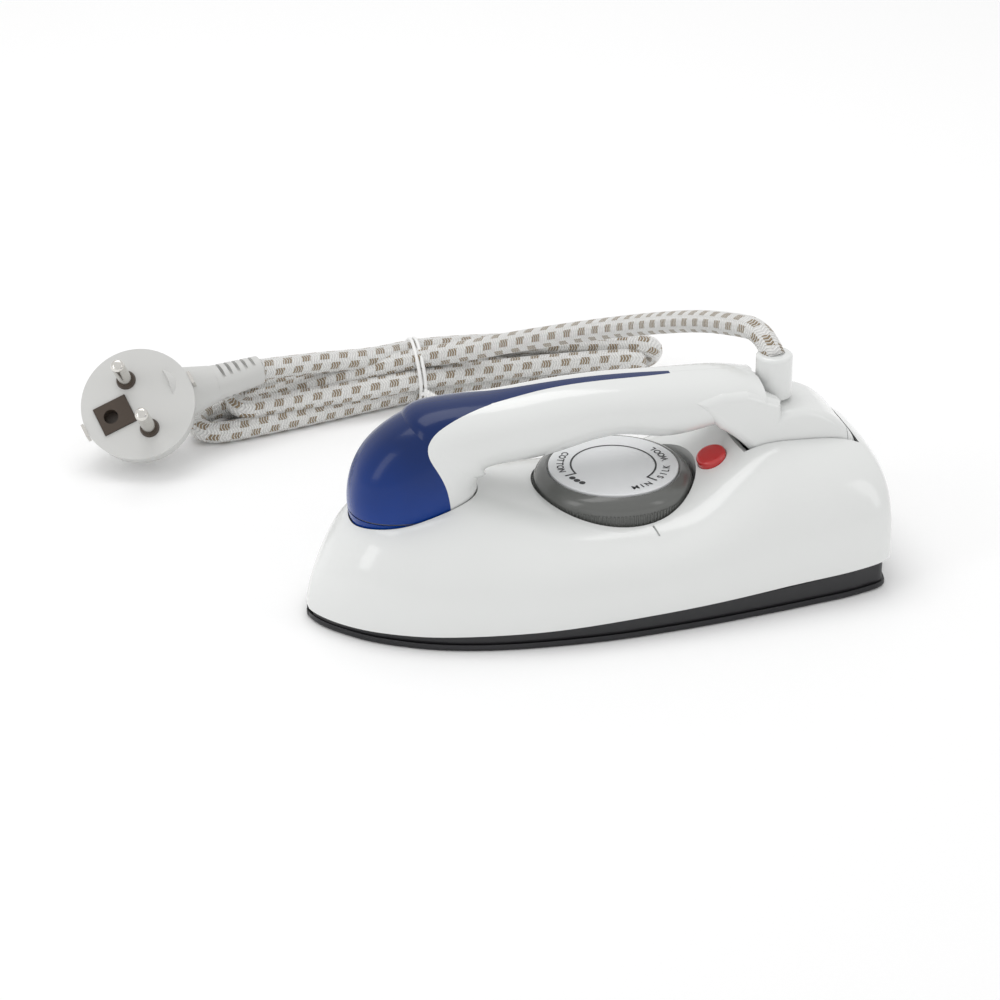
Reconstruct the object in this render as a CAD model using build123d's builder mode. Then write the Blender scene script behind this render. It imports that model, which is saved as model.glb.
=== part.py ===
from build123d import *
import math
import os

os.makedirs("parts", exist_ok=True)

# Folding travel iron. Millimetres, +Z up, floor at z = 0, nose towards -X.
# The control dial side that faces a right-handed user's left is -Y.

# ---------------------------------------------------------------- driving sizes
length = 184.0
nose_x = -length / 2
wall = 2.2
gap = 0.5

sole_thick = 2.4
skirt_rise = 0.033

dial_x = 8.5
dial_top = 39.4
dial_radius = 25.3
disc_radius = 20.7
dial_low = 30.0

hinge_x = 65.0
hinge_z = 34.0
drum_radius = 22.5
foot_half = 13.0
earth_y = -8.6        # middle of the plug's earth socket, below the line of the pins
pin_radius = 3.0

bush_x = 61.5
bush_radius = 5.85
bush_top = 70.0
cord_radius = 3.7

# Body outline stations: x, half width, crown height, section power.
body_stations = [
    (-91.6, 1.8, 6.5, 2.0),
    (-90.0, 6.0, 12.5, 2.2),
    (-87.0, 11.0, 18.5, 2.4),
    (-82.0, 17.0, 27.0, 2.6),
    (-76.0, 22.3, 33.8, 2.6),
    (-70.0, 26.3, 36.3, 2.6),
    (-62.0, 30.6, 38.8, 2.3),
    (-52.0, 34.3, 41.3, 2.2),
    (-42.0, 37.0, 41.3, 2.2),
    (-34.0, 38.7, 39.3, 2.3),
    (-24.0, 40.3, 36.4, 2.6),
    (-12.0, 41.2, 34.0, 2.9),
    (0.0, 41.4, 33.2, 3.0),
    (12.0, 41.3, 33.2, 3.0),
    (22.0, 41.0, 34.2, 3.0),
    (30.0, 40.5, 37.0, 2.9),
    (38.0, 39.8, 41.5, 2.6),
    (46.0, 38.9, 45.8, 2.4),
    (55.0, 37.8, 48.6, 2.3),
    (66.0, 36.8, 48.6, 2.3),
    (76.0, 35.8, 47.6, 2.4),
    (84.0, 34.3, 45.3, 2.6),
    (89.5, 32.4, 41.5, 3.0),
    (92.0, 30.2, 37.5, 3.4),
]

# The same shape one wall thickness further in, open at the bottom.
cavity_stations = [
    (-85.5, 9.5, 19.0, 2.3),
    (-82.0, 13.8, 23.5, 2.5),
    (-76.0, 19.6, 30.8, 2.6),
    (-70.0, 23.8, 33.7, 2.6),
    (-62.0, 28.2, 36.4, 2.3),
    (-52.0, 32.0, 38.9, 2.2),
    (-42.0, 34.7, 38.9, 2.2),
    (-34.0, 36.4, 36.9, 2.3),
    (-24.0, 38.0, 34.0, 2.6),
    (-12.0, 38.9, 31.6, 2.9),
    (0.0, 39.1, 30.8, 3.0),
    (12.0, 39.0, 30.8, 3.0),
    (22.0, 38.7, 31.7, 3.0),
    (30.0, 38.2, 34.3, 2.9),
    (38.0, 37.5, 38.5, 2.6),
    (46.0, 36.6, 43.0, 2.4),
    (55.0, 35.5, 46.2, 2.3),
    (66.0, 34.5, 46.3, 2.3),
    (76.0, 33.5, 45.3, 2.4),
    (84.0, 31.8, 42.6, 2.6),
    (89.4, 29.6, 38.0, 3.0),
]

# Grip and front column: the sections fan round a point under the front of the
# finger gap. Each row: plane angle from +X, inner reach, outer reach, half width.
fan_x = -33.0
fan_z = 41.0
fan_sections = [
    (90, 6.4, 28.2, 13.6),
    (115, 5.7, 31.0, 14.3),
    (138, 5.0, 35.8, 15.2),
    (155, 4.5, 40.8, 15.7),
    (168, 4.2, 43.6, 15.9),
    (180, 4.0, 44.8, 15.8),
    (190, 4.2, 45.0, 15.1),
    (197, 4.8, 43.6, 13.6),
    (199, 5.0, 43.3, 13.2),
    (203, 5.6, 42.2, 12.2),
]
shared_fan = 138

# Straight part of the grip: x, underside, top, half width (rear to front).
grip_sections = [
    (55.0, 53.5, 65.8, 12.7),
    (44.0, 51.4, 68.4, 12.6),
    (34.0, 50.6, 69.2, 12.6),
    (21.0, 50.0, 69.9, 12.7),
    (8.5, 52.4, 70.5, 12.7),
    (-5.0, 50.8, 70.7, 12.8),
    (-17.0, 48.4, 70.2, 13.1),
]


def half_outline(half_width, base, top, power, count=12):
    """Points of a domed cross section from the right foot over the crown to the left."""
    points = []
    for step in range(count + 1):
        angle = math.pi * step / count
        side = math.cos(angle)
        lift = math.sin(angle)
        y = half_width * math.copysign(abs(side) ** (2 / power), side)
        z = base + (top - base) * abs(lift) ** (2 / power)
        points.append((y, z))
    return points


def oval(width, height, power=2.25, count=24):
    """Closed ring of points for a soft-cornered oval."""
    points = []
    for step in range(count):
        angle = 2 * math.pi * step / count
        c = math.cos(angle)
        s = math.sin(angle)
        x = width * math.copysign(abs(c) ** (2 / power), c)
        y = height * math.copysign(abs(s) ** (2 / power), s)
        points.append((x, y))
    return points


def sole_half_width(x):
    """Half width of the soleplate at x, nose to heel."""
    table = [
        (-92.0, 0.0), (-90.5, 5.6), (-87.0, 11.4), (-80.0, 19.2), (-73.0, 24.8),
        (-61.0, 31.4), (-49.0, 35.8), (-37.0, 38.6), (-20.0, 41.0), (0.0, 42.0),
        (20.0, 41.6), (40.0, 40.2), (60.0, 38.2), (78.0, 36.0), (88.0, 33.2),
        (92.0, 29.5),
    ]
    for (x0, w0), (x1, w1) in zip(table, table[1:]):
        if x <= x1:
            return w0 + (w1 - w0) * (x - x0) / (x1 - x0)
    return table[-1][1]


def grip_rings(grow):
    """Planes and ovals of the grip bar, rear end to the shared fan section."""
    rows = []
    for x, low, high, half in grip_sections:
        plane = Plane(origin=(x, 0, (low + high) / 2), x_dir=(0, 1, 0), z_dir=(-1, 0, 0))
        rows.append((plane, half + grow, (high - low) / 2 + grow))
    rows += fan_rings(grow, 90, shared_fan)
    return rows


def fan_rings(grow, first, last):
    """Planes and ovals of the fan sections between two plane angles."""
    rows = []
    for angle, inner, outer, half in fan_sections:
        if first <= angle <= last:
            c = math.cos(math.radians(angle))
            s = math.sin(math.radians(angle))
            middle = (inner + outer) / 2
            plane = Plane(
                origin=(fan_x + middle * c, 0, fan_z + middle * s),
                x_dir=(0, 1, 0),
                z_dir=(-s, 0, c),
            )
            rows.append((plane, half + grow, (outer - inner) / 2 + grow))
    return rows


def sole_outline(inset, first_x, last_x, count=22):
    """Closed boat outline: right side nose to heel, then back along the left."""
    side = []
    for step in range(count + 1):
        turn = 0.5 - 0.5 * math.cos(math.pi * step / count)
        x = first_x + (last_x - first_x) * turn
        side.append((x, max(sole_half_width(x) - inset, 0.6)))
    return side


# ---------------------------------------------------------------- soleplate
with BuildPart() as soleplate:
    with BuildSketch(Plane.XY):
        with BuildLine():
            near = sole_outline(0.0, nose_x + 0.35, 90.0)
            Spline([(x, -w) for x, w in near])
            Spline([(x, w) for x, w in near])
            ThreePointArc((near[0][0], -near[0][1]), (nose_x, 0), (near[0][0], near[0][1]))
            heel = [(90.0, near[-1][1]), (91.4, 24.0), (91.9, 12.0), (92.0, 0.0)]
            Spline([(x, -w) for x, w in heel[:-1]] + [(x, w) for x, w in reversed(heel)])
        make_face()
    extrude(amount=sole_thick)
    fillet(soleplate.faces().sort_by(Axis.Z)[0].outer_wire().edges(), radius=1.1)
    # raised casting that carries the heater and the steam chamber
    with BuildSketch(Plane.XY.offset(sole_thick)):
        with BuildLine():
            pad = sole_outline(9.0, -74.0, 74.0)
            Spline([(x, -w) for x, w in pad])
            Spline([(x, w) for x, w in pad])
            Line((pad[0][0], -pad[0][1]), (pad[0][0], pad[0][1]))
            Line((pad[-1][0], -pad[-1][1]), (pad[-1][0], pad[-1][1]))
        make_face()
    extrude(amount=5.6)
    # steam chamber sunk into the casting
    with BuildSketch(Plane.XY.offset(4.0)):
        with Locations((-34.0, 0)):
            RectangleRounded(52, 22, 9)
    extrude(amount=10, mode=Mode.SUBTRACT)
    # channel for the bent heating rod
    with BuildSketch(Plane.XY.offset(4.8)):
        with BuildLine():
            Line((80, -17.9), (-49.1, -17.9))
            ThreePointArc((-49.1, -17.9), (-67.0, 0), (-49.1, 17.9))
            Line((-49.1, 17.9), (80, 17.9))
        trace(line_width=7.4)
    extrude(amount=10, mode=Mode.SUBTRACT)
    # steam holes near the nose, in two rows that follow the outline
    with BuildSketch(Plane.XY):
        with Locations((-56, 0), (-50, -6), (-50, 6), (-43, -8.5), (-43, 8.5), (-36, -9), (-36, 9)):
            Circle(1.6)
        with Locations((-28, -9), (-28, 9), (-20, -8.5), (-20, 8.5), (-13, -5), (-13, 5)):
            Circle(1.6)
    extrude(amount=10, mode=Mode.SUBTRACT)
    # tapped bosses for the body screws
    with BuildSketch(Plane.XY.offset(sole_thick)):
        with Locations((-76, 0), (62, -27), (62, 27)):
            Circle(3.4)
    extrude(amount=7.6)
    with BuildSketch(Plane.XY.offset(3.4)):
        with Locations((-76, 0), (62, -27), (62, 27)):
            Circle(1.5)
    extrude(amount=12, mode=Mode.SUBTRACT)
soleplate.part.label = "soleplate"
export_step(soleplate.part, "parts/soleplate.step")

# ---------------------------------------------------------------- heating rod
with BuildPart() as heating_rod:
    with BuildLine():
        Line((70, -17.9, 8.4), (-49.1, -17.9, 8.4))
        ThreePointArc((-49.1, -17.9, 8.4), (-67.0, 0, 8.4), (-49.1, 17.9, 8.4))
        Line((-49.1, 17.9, 8.4), (70, 17.9, 8.4))
    with BuildSketch(Plane(origin=(70, -17.9, 8.4), z_dir=(-1, 0, 0))):
        Circle(3.4)
    sweep()
    with Locations(Location((70, -17.9, 8.4), (0, 90, 0)), Location((70, 17.9, 8.4), (0, 90, 0))):
        Cylinder(radius=1.4, height=8, align=(Align.CENTER, Align.CENTER, Align.MIN))
heating_rod.part.label = "heating_rod"
export_step(heating_rod.part, "parts/heating_rod.step")

# ---------------------------------------------------------------- steam chamber lid
with BuildPart() as chamber_lid:
    with BuildSketch(Plane.XY.offset(8.0)):
        with Locations((-34.5, 0)):
            RectangleRounded(56, 25, 11)
    extrude(amount=1.2)
    with Locations((-56.0, 0, 9.2)):
        Cylinder(radius=2.0, height=4.0, align=(Align.CENTER, Align.CENTER, Align.MIN))
    with Locations((-56.0, 0, 8.0)):
        Cylinder(radius=1.2, height=12.0, mode=Mode.SUBTRACT)
    with Locations((-42, -9, 9.2), (-42, 9, 9.2), (-14, -9, 9.2), (-14, 9, 9.2)):
        Cylinder(radius=1.7, height=0.8, align=(Align.CENTER, Align.CENTER, Align.MIN))
chamber_lid.part.label = "chamber_lid"
export_step(chamber_lid.part, "parts/chamber_lid.step")

# ---------------------------------------------------------------- heat shield skirt
with BuildPart() as heat_shield:
    with BuildSketch(Plane.XY.offset(sole_thick)):
        with BuildLine():
            outer = sole_outline(0.9, nose_x + 1.3, 89.0)
            Spline([(x, -w) for x, w in outer])
            Spline([(x, w) for x, w in outer])
            Line((outer[0][0], -outer[0][1]), (outer[0][0], outer[0][1]))
            heel = [(89.0, outer[-1][1]), (90.4, 24.0), (90.9, 12.0), (91.0, 0.0)]
            Spline([(x, -w) for x, w in heel[:-1]] + [(x, w) for x, w in reversed(heel)])
        make_face()
    extrude(amount=9.0)
    with BuildSketch(Plane.XZ):
        with BuildLine():
            Polyline(
                (nose_x - 5, 3.2), (100.0, 3.2 + skirt_rise * 192), (100.0, 20.0),
                (nose_x - 5, 20.0), close=True,
            )
        make_face()
    extrude(amount=60, both=True, mode=Mode.SUBTRACT)
    with BuildSketch(Plane.XY.offset(sole_thick)):
        with BuildLine():
            inner = sole_outline(7.0, -80.0, 82.0)
            Spline([(x, -w) for x, w in inner])
            Spline([(x, w) for x, w in inner])
            Line((inner[0][0], -inner[0][1]), (inner[0][0], inner[0][1]))
            Line((inner[-1][0], -inner[-1][1]), (inner[-1][0], inner[-1][1]))
        make_face()
    extrude(amount=20, mode=Mode.SUBTRACT)
heat_shield.part.label = "heat_shield"
export_step(heat_shield.part, "parts/heat_shield.step")

# ---------------------------------------------------------------- body shell
with BuildPart() as body_shell:
    for x, half_width, top, power in body_stations:
        with BuildSketch(Plane.YZ.offset(x)):
            base = 3.6 + skirt_rise * (x - nose_x)
            ring = half_outline(half_width, base, top, power)
            with BuildLine():
                Spline(ring)
                Line(ring[-1], ring[0])
            make_face()
    loft()
    # the hollow inside, one wall in from the outside
    for x, half_width, top, power in cavity_stations:
        with BuildSketch(Plane.YZ.offset(x)):
            ring = half_outline(half_width, 1.0, top, power)
            with BuildLine():
                Spline(ring)
                Line(ring[-1], ring[0])
            make_face()
    loft(mode=Mode.SUBTRACT)
    # material round the dial pocket, the column cradle and the hinge ears
    with Locations((dial_x, 0, dial_low - 3.0)):
        Cylinder(radius=28.4, height=16.0, align=(Align.CENTER, Align.CENTER, Align.MIN))
    with Locations((hinge_x, 17.2, hinge_z), (hinge_x, -17.2, hinge_z)):
        Box(15, 6.4, 15)
    with BuildSketch(Plane.XY.offset(10.3)):
        with Locations((-76, 0), (62, -27), (62, 27)):
            Circle(4.0)
    extrude(amount=24.0)

# everything outside this smooth shape is trimmed from the shell's inner bosses
with BuildPart() as body_form:
    for x, half_width, top, power in body_stations:
        with BuildSketch(Plane.YZ.offset(x)):
            base = 3.6 + skirt_rise * (x - nose_x)
            ring = half_outline(half_width, base, top, power)
            with BuildLine():
                Spline(ring)
                Line(ring[-1], ring[0])
            make_face()
    loft()

with BuildPart() as cradle_void:
    for plane, half, reach in fan_rings(gap, shared_fan, 199):
        with BuildSketch(plane):
            with BuildLine():
                Spline(oval(half, reach), periodic=True)
            make_face()
    loft()

with BuildPart() as cradle_wall:
    for plane, half, reach in fan_rings(gap + 1.8, 155, 203):
        with BuildSketch(plane):
            with BuildLine():
                Spline(oval(half, reach), periodic=True)
            make_face()
    loft()
    with Locations((-56, 0, 27.0)):
        Cylinder(radius=7, height=14)
    add(body_form.part, mode=Mode.INTERSECT)

with BuildPart() as foot_slot:
    with BuildSketch(Plane.XZ):
        with Locations((hinge_x, hinge_z)):
            Circle(drum_radius + 0.6)
            Rectangle(60, 60, align=(Align.CENTER, Align.MAX), rotation=-32, mode=Mode.SUBTRACT)
            Circle(10.0)
        with BuildLine():
            Spline((39.4, 52.7), (47.5, 46.1), (54.95, 35.7), (56.9, 31.0))
            Polyline((56.9, 31.0), (75.0, 31.0), (75.0, 70.0), (39.4, 70.0), (39.4, 52.7))
        make_face()
    extrude(amount=foot_half + gap, both=True)

with BuildPart() as dial_pocket:
    with Locations((dial_x, 0, dial_low - 0.5)):
        Cylinder(radius=dial_radius + 0.9, height=30, align=(Align.CENTER, Align.CENTER, Align.MIN))
    with Locations((dial_x, 0, dial_low - 8.0)):
        Cylinder(radius=3.6, height=10, align=(Align.CENTER, Align.CENTER, Align.MIN))

with BuildPart() as grip_relief:
    for plane, half, reach in grip_rings(gap):
        with BuildSketch(plane):
            with BuildLine():
                Spline(oval(half, reach), periodic=True)
            make_face()
    loft()

lens_seat = Location((38.2, -8.2, 42.7), (5, -21, 0))
with BuildPart() as body_finished:
    add(body_shell.part)
    add(body_form.part, mode=Mode.INTERSECT)
    add(cradle_wall.part)
    add(cradle_void.part, mode=Mode.SUBTRACT)
    add(foot_slot.part, mode=Mode.SUBTRACT)
    add(dial_pocket.part, mode=Mode.SUBTRACT)
    add(grip_relief.part, mode=Mode.SUBTRACT)
    # hinge pin bores, lens seat, drip inlet and screw holes
    with Locations(Location((hinge_x, 0, hinge_z), (90, 0, 0))):
        Cylinder(radius=pin_radius, height=41.0, mode=Mode.SUBTRACT)
    with Locations(lens_seat):
        Cylinder(radius=5.05, height=14.0, mode=Mode.SUBTRACT)
    with Locations((-56, 0, 27.0)):
        Cylinder(radius=3.1, height=20, mode=Mode.SUBTRACT)
    with BuildSketch(Plane.XY.offset(10.3)):
        with Locations((-76, 0), (62, -27), (62, 27)):
            Circle(1.6)
    extrude(amount=7.0, mode=Mode.SUBTRACT)
    # shallow groove for the pointer line beside the dial
    with Locations(Location((13.6, -29.0, 30.0), (24, 0, 11))):
        Box(0.7, 4.6, 2.4, mode=Mode.SUBTRACT)
body_finished.part.label = "body_shell"
export_step(body_finished.part, "parts/body_shell.step")

# ---------------------------------------------------------------- body screws
with BuildPart() as body_screws:
    with BuildSketch(Plane.XY.offset(3.5)):
        with Locations((-76, 0), (62, -27), (62, 27)):
            Circle(1.45)
    extrude(amount=13.0)
body_screws.part.label = "body_screws"
export_step(body_screws.part, "parts/body_screws.step")

# ---------------------------------------------------------------- lens and lamp
lens_plane = Plane(lens_seat)
with BuildPart(lens_plane) as indicator_lens:
    with Locations((0, 0, -2.2)):
        Cylinder(radius=4.9, height=3.0, align=(Align.CENTER, Align.CENTER, Align.MIN))
    with Locations((0, 0, -5.2)):
        Cylinder(radius=3.4, height=3.2, align=(Align.CENTER, Align.CENTER, Align.MIN))
    rim = indicator_lens.edges().sort_by(Axis(lens_plane.origin, lens_plane.z_dir))[-1]
    fillet(rim, radius=1.0)
indicator_lens.part.label = "indicator_lens"
export_step(indicator_lens.part, "parts/indicator_lens.step")

with BuildPart(lens_plane) as indicator_lamp:
    with Locations((0, 0, -12.2)):
        Cylinder(radius=2.2, height=6.8, align=(Align.CENTER, Align.CENTER, Align.MIN))
    with Locations((-1.1, 0, -15.2), (1.1, 0, -15.2)):
        Cylinder(radius=0.35, height=3.4, align=(Align.CENTER, Align.CENTER, Align.MIN))
indicator_lamp.part.label = "indicator_lamp"
export_step(indicator_lamp.part, "parts/indicator_lamp.step")

# ---------------------------------------------------------------- thermostat
with BuildPart() as thermostat:
    with Locations((dial_x, 0, 8.1)):
        Box(26, 13, 1.2, align=(Align.CENTER, Align.CENTER, Align.MIN))
    with Locations((dial_x, 0, 9.3)):
        Cylinder(radius=5.4, height=9.0, align=(Align.CENTER, Align.CENTER, Align.MIN))
    with Locations((dial_x - 10.0, 0, 9.3), (dial_x + 10.0, 0, 9.3)):
        Cylinder(radius=1.6, height=2.2, align=(Align.CENTER, Align.CENTER, Align.MIN))
    with Locations((dial_x + 8.0, 0, 11.5)):
        Box(9, 5, 0.8, align=(Align.CENTER, Align.CENTER, Align.MIN))
thermostat.part.label = "thermostat"
export_step(thermostat.part, "parts/thermostat.step")

with BuildPart() as thermal_fuse:
    with Locations(Location((38, 0, 10.2), (0, 90, 0))):
        Cylinder(radius=2.1, height=12)
    with Locations(Location((27, 0, 10.2), (0, 90, 0)), Location((49, 0, 10.2), (0, 90, 0))):
        Cylinder(radius=0.6, height=10)
thermal_fuse.part.label = "thermal_fuse"
export_step(thermal_fuse.part, "parts/thermal_fuse.step")

with BuildPart() as terminal_block:
    with Locations((68, 0, 12.0)):
        Box(12, 20, 7, align=(Align.CENTER, Align.CENTER, Align.MIN))
    fillet(terminal_block.edges().filter_by(Axis.Z), radius=1.0)
    with BuildSketch(Plane.XY.offset(19.0)):
        with Locations((68, -6.2), (68, 0), (68, 6.2)):
            Circle(1.9)
    extrude(amount=-4.5, mode=Mode.SUBTRACT)
terminal_block.part.label = "terminal_block"
export_step(terminal_block.part, "parts/terminal_block.step")

# ---------------------------------------------------------------- hinge pin
with BuildPart() as hinge_pin:
    with Locations(Location((hinge_x, 0, hinge_z), (90, 0, 0))):
        Cylinder(radius=pin_radius - 0.03, height=40.4)
hinge_pin.part.label = "hinge_pin"
export_step(hinge_pin.part, "parts/hinge_pin.step")

# ---------------------------------------------------------------- control dial
with BuildPart() as dial_ring:
    with BuildSketch(Plane.XZ):
        with BuildLine():
            Polyline(
                (0, 36.0), (0, 33.5), (21.5, 33.5), (21.5, dial_low), (dial_radius, dial_low),
                (dial_radius, 34.4),
            )
            Spline(
                (dial_radius, 34.4), (24.4, 37.2), (disc_radius + 0.9, 39.0),
                tangents=((0, 1), (-0.9, 0.43)),
            )
            Polyline((disc_radius + 0.9, 39.0), (disc_radius + 0.15, 38.6), (disc_radius + 0.15, 37.4))
            Polyline((disc_radius + 0.15, 37.4), (0, 37.4), (0, 36.0))
        make_face()
    revolve(axis=Axis.Z)
dial_ring_placed = dial_ring.part.moved(Location((dial_x, 0, 0)))
dial_ring_placed.label = "dial_ring"
export_step(dial_ring_placed, "parts/dial_ring.step")

with BuildPart() as dial_disc:
    with Locations((0, 0, 37.45)):
        Cylinder(radius=disc_radius, height=dial_top - 37.45, align=(Align.CENTER, Align.CENTER, Align.MIN))
    fillet(dial_disc.edges().sort_by(Axis.Z)[-1], radius=0.4)
dial_disc_placed = dial_disc.part.moved(Location((dial_x, 0, 0)))
dial_disc_placed.label = "dial_disc"
export_step(dial_disc_placed, "parts/dial_disc.step")

with BuildPart() as dial_spindle:
    with Locations((dial_x, 0, 18.4)):
        Cylinder(radius=3.0, height=15.1, align=(Align.CENTER, Align.CENTER, Align.MIN))
    with Locations((dial_x, 0, 18.4)):
        Cylinder(radius=4.4, height=2.0, align=(Align.CENTER, Align.CENTER, Align.MIN))
dial_spindle.part.label = "dial_spindle"
export_step(dial_spindle.part, "parts/dial_spindle.step")

# ---------------------------------------------------------------- handle forms
with BuildPart() as grip_form:
    for plane, half, reach in grip_rings(0.0):
        with BuildSketch(plane):
            with BuildLine():
                Spline(oval(half, reach), periodic=True)
            make_face()
    loft()

with BuildPart() as column_form:
    for plane, half, reach in fan_rings(0.0, shared_fan, 197):
        with BuildSketch(plane):
            with BuildLine():
                Spline(oval(half, reach), periodic=True)
            make_face()
    loft()

with BuildPart() as grip_hollow:
    for plane, half, reach in grip_rings(-wall):
        with BuildSketch(plane):
            with BuildLine():
                Spline(oval(half, reach), periodic=True)
            make_face()
    loft()

with BuildPart() as column_hollow:
    for plane, half, reach in fan_rings(-wall, shared_fan, 190):
        with BuildSketch(plane):
            with BuildLine():
                Spline(oval(half, reach), periodic=True)
            make_face()
    loft()

# the rear foot: a drum round the hinge with a web up to the grip
with BuildPart() as foot_form:
    with BuildSketch(Plane.XZ):
        with BuildLine():
            Polyline((88.0, 34.0), (88.0, 60.0), (60.0, 60.0), (46.0, 66.0), (30.0, 64.0), (40.0, 53.0))
            Spline((40.0, 53.0), (48.0, 46.5), (55.5, 36.0), (57.5, 31.5))
            Polyline((57.5, 31.5), (60.0, 26.2), (70.0, 26.2), (72.5, 31.5), (88.0, 34.0))
        make_face()
        with BuildSketch(Plane.XZ, mode=Mode.INTERSECT):
            with Locations((hinge_x, hinge_z)):
                Circle(drum_radius)
            with BuildLine():
                Polyline((28, 20), (63.5, 20), (60.0, 60.0), (52.0, 64.6), (28, 66), close=True)
            make_face()
    extrude(amount=foot_half, both=True)
    fillet(foot_form.edges().filter_by(lambda edge: abs(abs(edge.center().Y) - foot_half) < 0.01), radius=3.0)

with BuildPart() as tank_block:
    # side view of the part of the column that belongs to the tank
    with BuildSketch(Plane.XZ):
        with BuildLine():
            Spline(
                (-46.6, 26.0), (-48.6, 38.0), (-50.4, 47.0), (-53.6, 54.0), (-55.6, 59.4), (-53.8, 63.2),
                (-49.4, 65.8), (-43.0, 67.5), (-36.5, 68.4), (-33.0, 68.7),
            )
            Polyline((-33.0, 68.7), (-33.0, 80.0), (-90.0, 80.0), (-90.0, 26.0), (-46.6, 26.0))
        make_face()
    extrude(amount=30, both=True)
    # plan view of the spine that runs back along the top of the grip
    with BuildSketch(Plane.XY.offset(66.9)):
        with BuildLine():
            Spline((-36.0, -5.4), (-27.0, -3.6), (-16.0, -2.4), (0.0, -1.9), (26.5, -0.9))
            Line((26.5, -0.9), (26.5, 0.9))
            Spline((26.5, 0.9), (0.0, 1.9), (-16.0, 2.4), (-27.0, 3.6), (-36.0, 5.4))
            Line((-36.0, 5.4), (-36.0, -5.4))
        make_face()
    extrude(amount=10)

# posts across the grip for the three screws that hold its halves together
screw_places = [(-24.0, 59.3), (4.0, 61.6), (40.0, 60.0)]
head_seat = 9.4
with BuildPart() as screw_posts:
    for x, z in screw_places:
        with Locations(Location((x, 0, z), (90, 0, 0))):
            Cylinder(radius=3.0, height=34.0)
    add(grip_form.part, mode=Mode.INTERSECT)

# ---------------------------------------------------------------- handle shells
with BuildPart() as handle_solid:
    add(grip_form.part)
    add(column_form.part)
    add(foot_form.part)
    # hollow grip and hollow column, each with its own wall
    add(grip_hollow.part, mode=Mode.SUBTRACT)
    add(column_hollow.part, mode=Mode.SUBTRACT)
    with Locations((60.0, 0, 48.5)):
        Box(15, 18, 8, mode=Mode.SUBTRACT)
    add(screw_posts.part)
    add(tank_block.part, mode=Mode.SUBTRACT)
    with Locations(Location((hinge_x, 0, hinge_z), (90, 0, 0))):
        Cylinder(radius=pin_radius + 0.03, height=40, mode=Mode.SUBTRACT)
    # socket for the cord bush, with a visible gap round it
    with Locations((bush_x, 0, 57.4)):
        Cylinder(radius=bush_radius + 1.3, height=30, align=(Align.CENTER, Align.CENTER, Align.MIN), mode=Mode.SUBTRACT)
    with Locations((bush_x, 0, 46.0)):
        Cylinder(radius=4.6, height=20, align=(Align.CENTER, Align.CENTER, Align.MIN), mode=Mode.SUBTRACT)
    # clearance for the three screws
    for x, z in screw_places:
        with Locations(Location((x, 0.4, z), (90, 0, 0))):
            Cylinder(radius=1.3, height=18.2, mode=Mode.SUBTRACT)
        with Locations(Location((x, head_seat + 10.0, z), (90, 0, 0))):
            Cylinder(radius=2.6, height=20.0, mode=Mode.SUBTRACT)

with BuildPart() as handle_left_shell:
    add(handle_solid.part)
    with Locations((0, 0.0, 50)):
        Box(260, 60, 120, align=(Align.CENTER, Align.MIN, Align.CENTER), mode=Mode.SUBTRACT)
    with Locations((110.0, 0, 50)):
        Box(55, 60, 120, mode=Mode.SUBTRACT)
handle_left_shell.part.label = "handle_left_shell"
export_step(handle_left_shell.part, "parts/handle_left_shell.step")

with BuildPart() as handle_right_shell:
    add(handle_solid.part)
    with Locations((0, 0.05, 50)):
        Box(260, 60, 120, align=(Align.CENTER, Align.MAX, Align.CENTER), mode=Mode.SUBTRACT)
    with Locations((110.0, 0, 50)):
        Box(55, 60, 120, mode=Mode.SUBTRACT)
handle_right_shell.part.label = "handle_right_shell"
export_step(handle_right_shell.part, "parts/handle_right_shell.step")

with BuildPart() as foot_end_cap:
    add(handle_solid.part)
    with Locations((82.7, 0, 50)):
        Box(200, 60, 120, align=(Align.MAX, Align.CENTER, Align.CENTER), mode=Mode.SUBTRACT)
foot_end_cap.part.label = "foot_end_cap"
export_step(foot_end_cap.part, "parts/foot_end_cap.step")

with BuildPart() as handle_screws:
    for x, z in screw_places:
        with Locations(Location((x, 0.5, z), (90, 0, 0))):
            Cylinder(radius=1.25, height=18.0)
        with Locations(Location((x, head_seat + 0.75, z), (90, 0, 0))):
            Cylinder(radius=2.5, height=1.4)
handle_screws.part.label = "handle_screws"
export_step(handle_screws.part, "parts/handle_screws.step")

# ---------------------------------------------------------------- water tank
with BuildPart() as tank_room:
    add(column_hollow.part)
    add(grip_hollow.part)
    with BuildSketch(Plane.XZ):
        with BuildLine():
            Spline((-49.2, 26.0), (-51.2, 38.0), (-53.0, 47.0), (-56.2, 54.4), (-58.0, 60.0), (-54.0, 65.8))
            Polyline((-54.0, 65.8), (-54.0, 80.0), (-90.0, 80.0), (-90.0, 26.0), (-49.2, 26.0))
        make_face()
    extrude(amount=30, both=True, mode=Mode.INTERSECT)

with BuildPart() as tank_solid:
    add(grip_form.part)
    add(column_form.part)
    add(tank_block.part, mode=Mode.INTERSECT)
    add(tank_room.part, mode=Mode.SUBTRACT)

with BuildPart() as water_tank:
    add(tank_solid.part)
    with Locations((-60, 0, 36.1)):
        Box(80, 60, 30, align=(Align.CENTER, Align.CENTER, Align.MAX), mode=Mode.SUBTRACT)
    with Locations((-56, 0, 36.0)):
        Cylinder(radius=1.1, height=6.0, mode=Mode.SUBTRACT)
water_tank.part.label = "water_tank"
export_step(water_tank.part, "parts/water_tank.step")

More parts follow.
